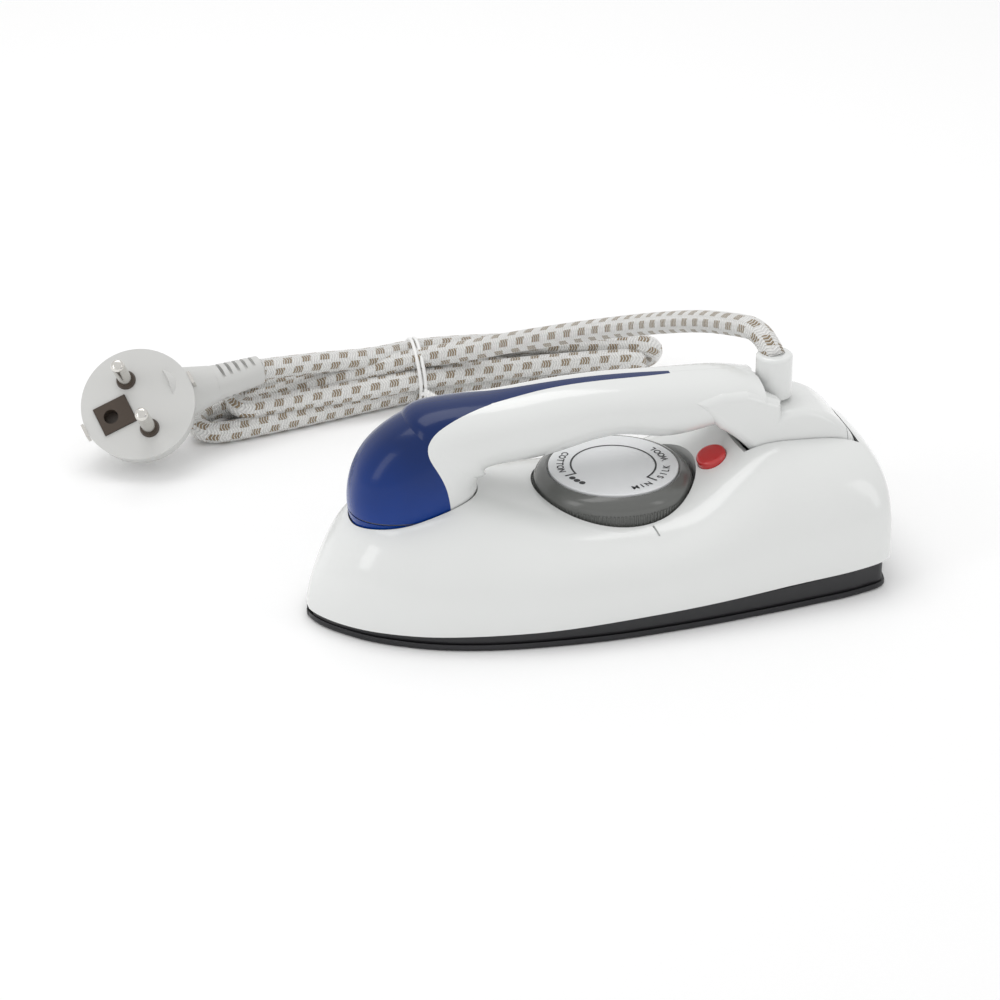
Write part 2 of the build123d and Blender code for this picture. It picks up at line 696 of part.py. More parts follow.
with BuildPart() as tank_gasket:
    for plane, half, reach in fan_rings(-0.5, shared_fan, 197):
        with BuildSketch(plane):
            with BuildLine():
                Spline(oval(half, reach), periodic=True)
            make_face()
    loft()
    add(tank_block.part, mode=Mode.INTERSECT)
    add(tank_room.part, mode=Mode.SUBTRACT)
    with Locations((-60, 0, 35.8)):
        Box(80, 60, 0.6, mode=Mode.INTERSECT)
    with Locations((-56, 0, 36.0)):
        Cylinder(radius=1.1, height=6.0, mode=Mode.SUBTRACT)
tank_gasket.part.label = "tank_gasket"
export_step(tank_gasket.part, "parts/tank_gasket.step")

with BuildPart() as tank_cap:
    add(tank_solid.part)
    with Locations((-60, 0, 35.5)):
        Box(300, 60, 50, align=(Align.CENTER, Align.CENTER, Align.MIN), mode=Mode.SUBTRACT)
    with Locations((-56, 0, 29.6)):
        Cylinder(radius=2.4, height=5.2, align=(Align.CENTER, Align.CENTER, Align.MIN))
    with Locations((-56, 0, 28.0)):
        Cylinder(radius=1.1, height=20, mode=Mode.SUBTRACT)
tank_cap.part.label = "tank_cap"
export_step(tank_cap.part, "parts/tank_cap.step")

with BuildPart() as inlet_tube:
    with Locations((-56, 0, 10.0)):
        Cylinder(radius=3.1, height=10.0, align=(Align.CENTER, Align.CENTER, Align.MIN))
        Cylinder(radius=2.02, height=40.0, mode=Mode.SUBTRACT)
inlet_tube.part.label = "inlet_tube"
export_step(inlet_tube.part, "parts/inlet_tube.step")

# ---------------------------------------------------------------- leads in the base
with BuildPart() as inner_leads:
    for side in (-1, 1):
        with BuildLine():
            FilletPolyline(
                (78.0, side * 17.9, 8.4), (80.8, side * 17.9, 8.4), (80.8, side * 6.2, 14.0),
                (74.4, side * 6.2, 15.5), radius=1.6,
            )
        with BuildSketch(Plane(origin=(78.0, side * 17.9, 8.4), z_dir=(1, 0, 0))):
            Circle(1.0)
        sweep()
inner_leads.part.label = "inner_leads"
export_step(inner_leads.part, "parts/inner_leads.step")

# ---------------------------------------------------------------- mains lead
lead_points = [
    (61.5, 0.0, 70.0), (59.8, 6.0, 77.0), (55.0, 22.0, 72.8), (50.0, 46.0, 64.0), (38.0, 92.0, 42.5),
    (14.0, 121.0, 27.5), (-2.0, 133.0, 20.2), (-15.5, 140.0, 15.6),
]
plug_points = [(-77.6, 131.6, 23.2), (-58.0, 135.4, 21.6), (-36.0, 138.2, 19.0)]


def bend_radii(points):
    """Bend radius at each inner point: 0.45 of the shorter run over tan of half the turn."""
    radii = []
    for a, b, c in zip(points, points[1:], points[2:]):
        run_in = Vector(*b) - Vector(*a)
        run_out = Vector(*c) - Vector(*b)
        turn = run_in.get_angle(run_out)
        radii.append(0.45 * min(run_in.length, run_out.length) / math.tan(math.radians(turn) / 2))
    return radii


lead_radii = bend_radii(lead_points)
plug_radii = bend_radii(plug_points)
print("lead bend radii", [round(r, 1) for r in lead_radii], "plug lead", [round(r, 1) for r in plug_radii])

with BuildPart() as cord_exit_tube:
    with BuildLine() as lead_path:
        FilletPolyline(*lead_points, radius=lead_radii)
    start = lead_path.line @ 0
    with BuildSketch(Plane(origin=start, z_dir=lead_path.line % 0)):
        Circle(cord_radius)
    sweep()
cord_exit_tube.part.label = "cord_exit_tube"

with BuildPart() as cord_plug_tube:
    with BuildLine() as plug_path:
        FilletPolyline(*plug_points, radius=plug_radii)
    start = plug_path.line @ 0
    with BuildSketch(Plane(origin=start, z_dir=plug_path.line % 0)):
        Circle(cord_radius)
    sweep()
cord_plug_tube.part.label = "cord_plug_tube"
for tube, path in ((cord_exit_tube, lead_path), (cord_plug_tube, plug_path)):
    run = sum(edge.length for edge in path.edges())
    ratio = tube.part.volume / (math.pi * cord_radius**2 * run)
    print(tube.part.label, "length", round(run, 1), "volume over section x length", round(ratio, 3))

export_step(cord_exit_tube.part, "parts/cord_exit_tube.step")
export_step(cord_plug_tube.part, "parts/cord_plug_tube.step")

# ---------------------------------------------------------------- cord bush
with BuildPart() as cord_bush:
    with Locations((bush_x, 0, 50.2)):
        Cylinder(radius=4.5, height=8.0, align=(Align.CENTER, Align.CENTER, Align.MIN))
    with Locations((bush_x, 0, 57.5)):
        Cylinder(radius=bush_radius, height=bush_top + 1.6 - 57.5, align=(Align.CENTER, Align.CENTER, Align.MIN))
    fillet(cord_bush.edges().sort_by(Axis.Z)[-1], radius=1.2)
    with Locations((bush_x, 0, 50.0)):
        Cylinder(radius=2.2, height=20.0, align=(Align.CENTER, Align.CENTER, Align.MIN), mode=Mode.SUBTRACT)
    add(cord_exit_tube.part, mode=Mode.SUBTRACT)
cord_bush.part.label = "cord_bush"
export_step(cord_bush.part, "parts/cord_bush.step")

# ---------------------------------------------------------------- plug
plug_plane = Plane(
    origin=(-122.5, 118.0, 22.7), x_dir=(0.259, -0.725, -0.640), z_dir=(-0.271, -0.690, 0.672)
)
neck_start = plug_plane.from_local_coords((0.0, 9.0, -7.6))
neck_end = Vector(*plug_points[0])
neck_dir = (neck_end - neck_start).normalized()
neck_plane = Plane(origin=neck_start, z_dir=neck_dir)
neck_length = (neck_end - neck_start).length

with BuildPart(plug_plane) as plug_body:
    with BuildSketch(plug_plane.offset(-15.0)):
        Circle(12.5)
    with BuildSketch(plug_plane.offset(-8.0)):
        Circle(18.6)
    with BuildSketch(plug_plane.offset(0.0)):
        Circle(19.5)
    loft(ruled=True)
    with BuildSketch(neck_plane):
        Ellipse(8.0, 11.0)
    with BuildSketch(neck_plane.offset(neck_length - 18.0)):
        Circle(6.6)
    loft()
    # recess for the earth socket and seats for the pins
    with BuildSketch(plug_plane):
        with Locations((0, earth_y)):
            Rectangle(10.4, 12.0)
    extrude(amount=-4.0, mode=Mode.SUBTRACT)
    with BuildSketch(plug_plane):
        with Locations((-9.5, 0), (9.5, 0)):
            Circle(2.4)
    extrude(amount=-7.0, mode=Mode.SUBTRACT)
plug_body.part.label = "plug_body"
export_step(plug_body.part, "parts/plug_body.step")

with BuildPart() as plug_relief:
    with BuildSketch(neck_plane.offset(neck_length - 17.9)):
        Circle(6.4)
    with BuildSketch(neck_plane.offset(neck_length)):
        Circle(5.0)
    loft()
    # flex slots in two rows
    for step in range(5):
        with BuildSketch(neck_plane.offset(neck_length - 15.6 + 3.0 * step)):
            with Locations((0, 6.4), (0, -6.4)):
                Rectangle(14, 5.2)
        extrude(amount=1.2, mode=Mode.SUBTRACT)
    add(cord_plug_tube.part, mode=Mode.SUBTRACT)
plug_relief.part.label = "plug_relief"
export_step(plug_relief.part, "parts/plug_relief.step")

with BuildPart() as plug_pins:
    with BuildSketch(plug_plane.offset(-6.9)):
        with Locations((-9.5, 0), (9.5, 0)):
            Circle(2.3)
    extrude(amount=24.9)
    fillet(plug_pins.edges().group_by(Axis(plug_plane.origin, plug_plane.z_dir))[-1], radius=1.4)
plug_pins.part.label = "plug_pins"
export_step(plug_pins.part, "parts/plug_pins.step")

with BuildPart() as plug_earth_socket:
    with BuildSketch(plug_plane.offset(-3.9)):
        with Locations((0, earth_y)):
            Rectangle(10.2, 11.8)
    extrude(amount=4.6)
    with BuildSketch(plug_plane.offset(0.7)):
        with Locations((0, earth_y - 1.4)):
            Circle(2.5)
    extrude(amount=-4.0, mode=Mode.SUBTRACT)
plug_earth_socket.part.label = "plug_earth_socket"
export_step(plug_earth_socket.part, "parts/plug_earth_socket.step")

with BuildPart() as plug_earth_clips:
    with BuildSketch(plug_plane.offset(-6.0)):
        with Locations((0, 20.0), (0, -20.0)):
            Rectangle(4.6, 1.0)
    extrude(amount=6.4)
    add(plug_body.part, mode=Mode.SUBTRACT)
plug_earth_clips.part.label = "plug_earth_clips"
export_step(plug_earth_clips.part, "parts/plug_earth_clips.step")

# ---------------------------------------------------------------- hank and tie
# hank stations: x, centre y, centre z, half depth, half height
hank_stations = [
    (-100.0, 126.0, 6.0, 4.0, 4.4),
    (-94.0, 127.0, 7.3, 9.0, 7.1),
    (-80.0, 130.5, 7.6, 11.5, 7.5),
    (-70.0, 134.5, 8.6, 12.0, 8.5),
    (-60.0, 138.5, 10.2, 12.0, 10.0),
    (-40.0, 141.5, 10.4, 10.5, 10.2),
    (-19.0, 143.0, 9.6, 9.6, 9.4),
    (5.0, 143.8, 9.6, 10.0, 9.4),
    (30.0, 143.0, 9.2, 10.6, 9.0),
    (50.0, 141.0, 9.0, 10.4, 8.8),
    (63.0, 139.0, 8.6, 8.6, 8.2),
    (69.0, 138.0, 8.2, 4.0, 5.5),
]
with BuildPart() as cord_hank:
    for x, y, z, depth, height in hank_stations:
        with BuildSketch(Plane(origin=(x, y, z), x_dir=(0, 1, 0), z_dir=(1, 0, 0))):
            with BuildLine():
                Spline(oval(depth, height), periodic=True)
            make_face()
    loft()
    add(cord_exit_tube.part, mode=Mode.SUBTRACT)
    add(cord_plug_tube.part, mode=Mode.SUBTRACT)
    add(plug_body.part, mode=Mode.SUBTRACT)
    add(plug_relief.part, mode=Mode.SUBTRACT)
cord_hank.part.label = "cord_hank"
export_step(cord_hank.part, "parts/cord_hank.step")

with BuildPart() as cord_tie:
    with BuildSketch(Plane(origin=(-20.5, 143.0, 9.6), x_dir=(0, 1, 0), z_dir=(1, 0, 0))):
        with BuildLine():
            Spline(oval(10.7, 10.5), periodic=True)
        make_face()
    extrude(amount=3.0)
    add(cord_hank.part, mode=Mode.SUBTRACT)
    add(cord_exit_tube.part, mode=Mode.SUBTRACT)
    with Locations((0, 143, -10)):
        Box(200, 60, 10.3, align=(Align.CENTER, Align.CENTER, Align.MIN), mode=Mode.SUBTRACT)
cord_tie.part.label = "cord_tie"
export_step(cord_tie.part, "parts/cord_tie.step")

iron_parts = [
    soleplate, heat_shield, body_finished, handle_left_shell, handle_right_shell, foot_end_cap,
    water_tank, tank_gasket, tank_cap, cord_bush,
]
for piece in iron_parts + [cord_hank, cord_tie, plug_body, plug_relief]:
    box = piece.part.bounding_box()
    volumes = [round(solid.volume, 1) for solid in piece.part.solids()]
    print(piece.part.label, volumes)
    print("   from", [round(v, 2) for v in box.min], "to", [round(v, 2) for v in box.max])
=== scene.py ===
import math

import bmesh
import bpy
from mathutils import Matrix, Vector


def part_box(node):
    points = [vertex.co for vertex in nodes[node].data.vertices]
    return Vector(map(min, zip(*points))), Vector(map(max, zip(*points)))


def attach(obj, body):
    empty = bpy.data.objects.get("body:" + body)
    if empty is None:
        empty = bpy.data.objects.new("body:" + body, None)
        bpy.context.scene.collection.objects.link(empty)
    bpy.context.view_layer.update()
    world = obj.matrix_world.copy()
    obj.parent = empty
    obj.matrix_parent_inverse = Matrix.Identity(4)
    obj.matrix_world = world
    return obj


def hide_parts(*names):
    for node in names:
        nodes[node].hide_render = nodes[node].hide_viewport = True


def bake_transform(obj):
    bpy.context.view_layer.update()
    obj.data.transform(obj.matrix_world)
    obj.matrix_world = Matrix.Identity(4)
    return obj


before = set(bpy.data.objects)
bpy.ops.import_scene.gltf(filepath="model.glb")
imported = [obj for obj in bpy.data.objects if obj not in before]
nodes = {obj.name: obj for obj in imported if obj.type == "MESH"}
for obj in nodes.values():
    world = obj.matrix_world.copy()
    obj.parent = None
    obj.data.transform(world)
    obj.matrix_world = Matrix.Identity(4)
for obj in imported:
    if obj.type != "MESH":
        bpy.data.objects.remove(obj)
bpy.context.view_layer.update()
scene = bpy.context.scene

# ------------------------------------------------------------------ table and light
# A pale seamless table with a soft box over it, one at each side and a bright
# surround, as small goods are lit for a catalogue.
table = bpy.data.meshes.new("table")
table.from_pydata([(-6, -6, 0), (6, -6, 0), (6, 6, 0), (-6, 6, 0)], [], [(0, 1, 2, 3)])
table_top = bpy.data.objects.new("table_top", table)
scene.collection.objects.link(table_top)


def new_material(name):
    """A node material with only its output and its main shader."""
    made = bpy.data.materials.new(name)
    made.use_nodes = True
    return made, made.node_tree.nodes, made.node_tree.links


def add_node(tree_nodes, kind, **settings):
    """One node of that kind, with its settings and its unlinked inputs set by name."""
    node = tree_nodes.new(kind)
    for key, value in settings.items():
        if hasattr(node, key):
            setattr(node, key, value)
        else:
            node.inputs[key.replace("_", " ")].default_value = value
    return node


paper, paper_nodes, paper_links = new_material("pale_paper")
paper_shader = paper_nodes["Principled BSDF"]
paper_shader.inputs["Roughness"].default_value = 0.9
paper_place = add_node(paper_nodes, "ShaderNodeTexCoord")
paper_grain = add_node(paper_nodes, "ShaderNodeTexNoise", Scale=900.0, Detail=3.0)
paper_tone = add_node(paper_nodes, "ShaderNodeMapRange")
paper_tone.inputs["To Min"].default_value = 0.955
paper_tone.inputs["To Max"].default_value = 0.975
paper_links.new(paper_place.outputs["Object"], paper_grain.inputs["Vector"])
paper_links.new(paper_grain.outputs["Fac"], paper_tone.inputs["Value"])
paper_links.new(paper_tone.outputs["Result"], paper_shader.inputs["Base Color"])
table.materials.append(paper)

surround = bpy.data.worlds.new("surround")
surround.use_nodes = True
surround.node_tree.nodes["Background"].inputs["Color"].default_value = (1.0, 1.0, 1.0, 1.0)
surround.node_tree.nodes["Background"].inputs["Strength"].default_value = 0.80
scene.world = surround
scene.view_settings.view_transform = "Standard"
scene.view_settings.look = "None"


def soft_box(name, place, aim, size, power):
    """A rectangular lamp that faces a point."""
    lamp = bpy.data.lights.new(name, "AREA")
    lamp.shape = "RECTANGLE"
    lamp.size, lamp.size_y = size
    lamp.energy = power
    made = bpy.data.objects.new(name, lamp)
    made.matrix_world = (
        Matrix.Translation(place)
        @ (Vector(aim) - Vector(place)).to_track_quat("-Z", "Y").to_matrix().to_4x4()
    )
    scene.collection.objects.link(made)


soft_box("top_box", (-0.1, 0.30, 0.95), (0, 0.02, 0.03), (0.8, 0.5), 2.6)
soft_box("left_box", (-0.95, -0.25, 0.50), (0, 0, 0.04), (0.3, 0.7), 1.1)
soft_box("right_box", (0.75, -0.60, 0.45), (0, 0, 0.04), (0.2, 0.6), 0.5)

# ------------------------------------------------------------------ camera
# A long lens, a little to the left of square on and looking down by 28 degrees.
camera_turn = math.radians(-16.0)
camera_tilt = math.radians(27.82)
camera_target = Vector((-0.0288, 0.0, 0.03217))
camera_range = 1.1
back = Vector((
    math.sin(camera_turn) * math.cos(camera_tilt),
    -math.cos(camera_turn) * math.cos(camera_tilt),
    math.sin(camera_tilt),
))
right = Vector((math.cos(camera_turn), math.sin(camera_turn), 0.0))
up = back.cross(right)
eye = camera_target + back * camera_range
lens = bpy.data.cameras.new("long_lens")
lens.lens = 125.7
lens.sensor_width = 36.0
lens.clip_start = 0.05
view = bpy.data.objects.new("camera", lens)
view.matrix_world = Matrix((
    (right.x, up.x, back.x, eye.x),
    (right.y, up.y, back.y, eye.y),
    (right.z, up.z, back.z, eye.z),
    (0, 0, 0, 1),
))
scene.collection.objects.link(view)
scene.camera = view

# ------------------------------------------------------------------ mains lead
# A three-core lead of 7.4 mm in a woven yarn sleeve. It leaves the bush at the heel
# of the handle, comes down behind the iron, is folded to and fro in a hank that
# lies on the table, and ends in the plug.
lead_diameter = 0.0074
lead_free = [
    (0.0615, 0.0, 0.0700), (0.0598, 0.006, 0.0770), (0.055, 0.022, 0.0728), (0.050, 0.046, 0.064),
    (0.038, 0.092, 0.0425), (0.014, 0.121, 0.0275), (-0.002, 0.133, 0.0202),
]
plug_free = [(-0.036, 0.1382, 0.019), (-0.058, 0.1354, 0.0216), (-0.0776, 0.1316, 0.0232)]
tie_x = -0.019

# middle line of the hank on the table, left end to right end
hank_line = [
    (-0.100, 0.1295), (-0.080, 0.132), (-0.060, 0.1355), (-0.019, 0.143), (0.030, 0.143), (0.069, 0.138),
]

# where each of the seven runs lies at the tie, and how far out its two ends go:
# across, up, then across and up at the left end, then across and up at the right end
runs = [
    ((-3.7, 16.6), (7.5, 7.2), (-3.7, 19.0), -100.0, 30.0),
    ((-3.8, 3.8), (-4.6, 3.8), (-2.0, 3.8), -100.0, 60.0),
    ((-7.5, 10.2), (-1.5, 9.6), (-10.0, 10.8), -86.0, 60.0),
    ((0.0, 10.2), (9.0, 13.0), (0.0, 5.2), -86.0, 52.0),
    ((7.5, 10.2), (12.0, 13.8), (9.5, 12.4), -94.0, 52.0),
    ((3.8, 3.8), (13.0, 3.9), (1.5, 3.9), -94.0, 67.0),
    ((3.7, 16.6), (3.0, 17.6), (-5.2, 14.2), -60.0, 67.0),
]


def hank_middle(x):
    """Y of the hank's middle line at x, in metres."""
    for (x0, y0), (x1, y1) in zip(hank_line, hank_line[1:]):
        if x <= x1:
            return y0 + (y1 - y0) * (x - x0) / (x1 - x0)
    return hank_line[-1][1]


def on_run(run, x):
    """The point at x on one run, which lies close at the tie and apart at its ends."""
    at_tie, at_left, at_right, left_end, right_end = run
    far, far_x = (at_left, left_end) if x < tie_x else (at_right, right_end)
    share = min(1.0, abs(x - tie_x) / abs(far_x / 1000 - tie_x))
    share = share * share * (3 - 2 * share)
    across = at_tie[0] + (far[0] - at_tie[0]) * share
    height = at_tie[1] + (far[1] - at_tie[1]) * share
    return (x, hank_middle(x) + across / 1000, height / 1000)


lead_route = list(lead_free)
stations = [-0.074, -0.056, -0.037, tie_x, 0.0, 0.020, 0.040]
for index, run in enumerate(runs):
    left_end, right_end = run[3] / 1000, run[4] / 1000
    places = [x for x in stations if left_end + 0.006 < x < right_end - 0.006]
    if index == 0:
        places = [x for x in places if x <= tie_x + 0.001]
    if index == 6:
        places = [x for x in places if x >= tie_x - 0.001]
    ends = [left_end] + places + [right_end]
    if index == 0:
        ends = ends[:-1]
    if index == 6:
        ends = ends[1:]
    points = [on_run(run, x) for x in ends]
    if index % 2 == 0:
        points.reverse()
    lead_route += points
lead_route += plug_free

lead_line = bpy.data.curves.new("lead_line", "CURVE")
lead_line.dimensions = "3D"
lead_spline = lead_line.splines.new("NURBS")
lead_spline.points.add(len(lead_route) - 1)
for point, place in zip(lead_spline.points, lead_route):
    point.co = (*place, 1.0)
lead_spline.order_u = 3
lead_spline.use_endpoint_u = True
lead_line.resolution_u = 10
lead_guide = bpy.data.objects.new("lead_guide", lead_line)
scene.collection.objects.link(lead_guide)


def plain_mesh(holder):
    """The finished mesh of an object, which is then thrown away."""
    bpy.context.view_layer.update()
    finished = holder.evaluated_get(bpy.context.evaluated_depsgraph_get())
    mesh = bpy.data.meshes.new_from_object(finished)
    bpy.data.objects.remove(holder)
    return mesh


lead_path = [vertex.co.copy() for vertex in plain_mesh(lead_guide).vertices]


def even_steps(path, step):
    """The path's points again, a fixed step apart."""
    placed = [path[0]]
    left = step
    for a, b in zip(path, path[1:]):
        run = (b - a).length
        at = left
        while at <= run:
            placed.append(a.lerp(b, at / run))
            at += step
        left = at - run
    if (placed[-1] - path[-1]).length > step * 0.3:
        placed.append(path[-1])
    else:
        placed[-1] = path[-1]
    return placed


def tube_mesh(name, path, radius, sides, closed=False):
    """A round tube along a path. Its UV is the turn round it and the metres along it."""
    bm = bmesh.new()
    uv = bm.loops.layers.uv.new("along")
    count = len(path)
    rings = []
    along = [0.0]
    for a, b in zip(path, path[1:]):
        along.append(along[-1] + (b - a).length)
    tangent = (path[1] - path[0]).normalized()
    side = tangent.orthogonal().normalized()
    for index, point in enumerate(path):
        ahead = path[(index + 1) % count] if closed else path[min(index + 1, count - 1)]
        behind = path[index - 1] if closed else path[max(index - 1, 0)]
        new_tangent = (ahead - behind).normalized()
        side = (tangent.rotation_difference(new_tangent) @ side).normalized()
        side = (side - new_tangent * side.dot(new_tangent)).normalized()
        tangent = new_tangent
        other = tangent.cross(side)
        size = radius(index) if callable(radius) else radius
        rings.append([
            bm.verts.new(point + (side * math.cos(turn) + other * math.sin(turn)) * size)
            for turn in (2 * math.pi * k / sides for k in range(sides))
        ])
    pairs = list(zip(range(count - 1), range(1, count)))
    if closed:
        pairs.append((count - 1, 0))
    for first, second in pairs:
        for k in range(sides):
            nxt = (k + 1) % sides
            face = bm.faces.new((rings[first][k], rings[first][nxt], rings[second][nxt], rings[second][k]))
            face.smooth = True
            far = along[second] if second else along[-1]
            marks = ((k, along[first]), (k + 1, along[first]), (k + 1, far), (k, far))
            for loop, (turn, distance) in zip(face.loops, marks):
                loop[uv].uv = (turn / sides, distance)
    if not closed:
        bm.faces.new(list(reversed(rings[0])))
        bm.faces.new(rings[-1])
    bm.normal_update()
    mesh = bpy.data.meshes.new(name)
    bm.to_mesh(mesh)
    bm.free()
    return mesh


lead_steps = even_steps(lead_path, 0.0016)
lead_mesh = tube_mesh("mains_lead", lead_steps, lead_diameter / 2, 18)
mains_lead = bpy.data.objects.new("mains_lead", lead_mesh)
scene.collection.objects.link(mains_lead)


def maths(tree_nodes, links, operation, first, second=None, third=None):
    """One Math node whose inputs are sockets or numbers, and gives its output."""
    node = tree_nodes.new("ShaderNodeMath")
    node.operation = operation
    for socket, value in zip(node.inputs, (first, second, third)):
        if value is None:
            continue
        if isinstance(value, (int, float)):
            socket.default_value = value
        else:
            links.new(value, socket)
    return node.outputs[0]


def blend_colours(tree_nodes, links, share, first, second):
    """A colour mix whose three inputs are sockets or plain values."""
    node = tree_nodes.new("ShaderNodeMix")
    node.data_type = "RGBA"
    for socket, value in ((node.inputs[0], share), (node.inputs[6], first), (node.inputs[7], second)):
        if isinstance(value, (int, float, tuple)):
            socket.default_value = value
        else:
            links.new(value, socket)
    return node.outputs[2]


# the woven sleeve: pale shiny yarn in chevrons, with short brown blocks in six
# staggered rows round the lead, and painted shade in the grooves between the yarns
braid, braid_nodes, braid_links = new_material("woven_sleeve")
braid_shader = braid_nodes["Principled BSDF"]


def weave(operation, *values):
    """One Math node of the woven sleeve."""
    return maths(braid_nodes, braid_links, operation, *values)


braid_uv = add_node(braid_nodes, "ShaderNodeUVMap", uv_map="along")
braid_split = add_node(braid_nodes, "ShaderNodeSeparateXYZ")
braid_links.new(braid_uv.outputs["UV"], braid_split.inputs["Vector"])
turn_round = braid_split.outputs["X"]
mm_along = weave("MULTIPLY", braid_split.outputs["Y"], 1000.0)
rows_round = weave("MULTIPLY", turn_round, 6.0)
row_number = weave("FLOOR", rows_round)
row_place = weave("FRACT", rows_round)
row_middle = weave("ABSOLUTE", weave("SUBTRACT", row_place, 0.5))
# chevrons of yarn: 12 strips round the lead, each yarn 1 mm wide and slanting
strip_place = weave("PINGPONG", weave("MULTIPLY", turn_round, 12.0), 1.0)
yarn_phase = weave(
    "ADD",
    weave("MULTIPLY", mm_along, 6.2832 / 0.95),
    weave("MULTIPLY", strip_place, 5.2),
)
yarn_wave = weave("SINE", yarn_phase)
yarn_height = weave("MULTIPLY_ADD", yarn_wave, 0.5, 0.5)
strip_edge = weave("SINE", weave("MULTIPLY", strip_place, 3.1416))
weave_height = weave("MULTIPLY_ADD", strip_edge, 0.55, yarn_height)
# brown blocks: 3.3 mm in every 7 mm, staggered from row to row
stagger = weave("MULTIPLY", weave("MODULO", row_number, 2.0), 0.5)
block_phase = weave(
    "FRACT",
    weave(
        "ADD",
        weave("MULTIPLY_ADD", mm_along, 1 / 7.0, stagger),
        weave("MULTIPLY", row_place, 0.16),
    ),
)
block_along = weave("LESS_THAN", block_phase, 0.48)
block_across = weave("LESS_THAN", row_middle, 0.34)
block_yarn = weave("GREATER_THAN", yarn_height, 0.22)
block = weave("MULTIPLY", weave("MULTIPLY", block_along, block_across), block_yarn)
yarn_noise = add_node(braid_nodes, "ShaderNodeTexNoise", Scale=1500.0, Detail=2.0)
braid_place = add_node(braid_nodes, "ShaderNodeTexCoord")
braid_links.new(braid_place.outputs["Object"], yarn_noise.inputs["Vector"])
fleck = yarn_noise.outputs["Fac"]
pale_yarn = blend_colours(braid_nodes, braid_links, fleck, (0.80, 0.79, 0.76, 1), (1.0, 1.0, 0.99, 1))
brown_yarn = blend_colours(braid_nodes, braid_links, fleck, (0.16, 0.11, 0.055, 1), (0.42, 0.32, 0.20, 1))
two_yarns = blend_colours(braid_nodes, braid_links, block, pale_yarn, brown_yarn)
# painted shade: the yarn colour is darkened to 78 per cent where the yarn wave dips, in the grooves
# between the yarns
groove_painted_shade = weave("MULTIPLY_ADD", yarn_height, 0.22, 0.78)
groove_shaded_colour = braid_nodes.new("ShaderNodeMix")
groove_shaded_colour.data_type = "RGBA"
groove_shaded_colour.blend_type = "MULTIPLY"
groove_shaded_colour.inputs[0].default_value = 1.0
braid_links.new(two_yarns, groove_shaded_colour.inputs[6])
braid_links.new(groove_painted_shade, groove_shaded_colour.inputs[7])
braid_links.new(groove_shaded_colour.outputs[2], braid_shader.inputs["Base Color"])
braid_bump = add_node(braid_nodes, "ShaderNodeBump", Strength=0.9, Distance=0.00035)
braid_links.new(weave_height, braid_bump.inputs["Height"])
braid_links.new(braid_bump.outputs["Normal"], braid_shader.inputs["Normal"])
braid_shader.inputs["Roughness"].default_value = 0.42
braid_shader.inputs["Sheen Weight"].default_value = 0.25
lead_mesh.materials.append(braid)

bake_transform(mains_lead)
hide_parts("cord_exit_tube", "cord_plug_tube", "cord_hank")

# ------------------------------------------------------------------ wire tie
# A white plastic-covered wire goes twice round the hank, and its two ends are
# twisted together at the front.
tie_radius = 0.00065


def round_the_hank(turn, offset):
    """A point of the tie's loop, which hugs the seven runs."""
    across = 0.0117 * math.cos(turn)
    height = 0.0103 + 0.0110 * math.sin(turn)
    return Vector((tie_x + offset, hank_middle(tie_x) + across, max(height, 0.0009)))


tie_loops = bmesh.new()
tie_parts = []
for offset in (-0.0010, 0.0007):
    loop_turns = [2 * math.pi * k / 48 for k in range(48)]
    loop_path = [round_the_hank(turn, offset + 0.0004 * math.sin(2 * turn)) for turn in loop_turns]
    tie_parts.append(tube_mesh("tie_loop", loop_path, tie_radius, 8, closed=True))
knot = round_the_hank(math.radians(196), 0.0) + Vector((0, -0.0008, 0))
tail_way = Vector((0.72, -0.42, -0.42)).normalized()
tail_side = tail_way.orthogonal().normalized()
tail_other = tail_way.cross(tail_side)
for start in (0.0, math.pi):
    tail_path = []
    for k in range(40):
        turn = start + k * 0.62
        swing = 0.0008 * (1.0 + (0.9 * (k - 30) / 9 if k > 30 else 0.0))
        aside = tail_side * math.cos(turn) + tail_other * math.sin(turn)
        tail_path.append(knot + tail_way * (k * 0.00022) + aside * swing)
    tie_parts.append(tube_mesh("tie_tail", tail_path, tie_radius, 8))
for part in tie_parts:
    tie_loops.from_mesh(part)
    bpy.data.meshes.remove(part)
tie_mesh = bpy.data.meshes.new("wire_tie")
tie_loops.to_mesh(tie_mesh)
tie_loops.free()
wire_tie = bpy.data.objects.new("wire_tie", tie_mesh)
scene.collection.objects.link(wire_tie)


def moulded_plastic(name, colour, roughness, grain=900.0, relief=0.00002, coat=0.0, tone=0.03):
    """Moulded plastic with a faint skin texture and a little change of tone."""
    made, made_nodes, links = new_material(name)
    shader = made_nodes["Principled BSDF"]
    place = add_node(made_nodes, "ShaderNodeTexCoord")
    broad = add_node(made_nodes, "ShaderNodeTexNoise", Scale=28.0, Detail=3.0)
    fine = add_node(made_nodes, "ShaderNodeTexNoise", Scale=grain, Detail=4.0)
    links.new(place.outputs["Object"], broad.inputs["Vector"])
    links.new(place.outputs["Object"], fine.inputs["Vector"])
    darker = tuple(max(0.0, c * (1 - tone)) for c in colour) + (1,)
    lighter = tuple(min(1.0, c * (1 + tone)) for c in colour) + (1,)
    colours = blend_colours(made_nodes, links, broad.outputs["Fac"], darker, lighter)
    links.new(colours, shader.inputs["Base Color"])
    rough = add_node(made_nodes, "ShaderNodeMapRange")
    rough.inputs["To Min"].default_value = roughness * 0.8
    rough.inputs["To Max"].default_value = roughness * 1.25
    links.new(fine.outputs["Fac"], rough.inputs["Value"])
    links.new(rough.outputs["Result"], shader.inputs["Roughness"])
    bump = add_node(made_nodes, "ShaderNodeBump", Strength=0.5, Distance=relief)
    links.new(fine.outputs["Fac"], bump.inputs["Height"])
    links.new(bump.outputs["Normal"], shader.inputs["Normal"])
    shader.inputs["Coat Weight"].default_value = coat
    shader.inputs["Coat Roughness"].default_value = 0.06
    return made


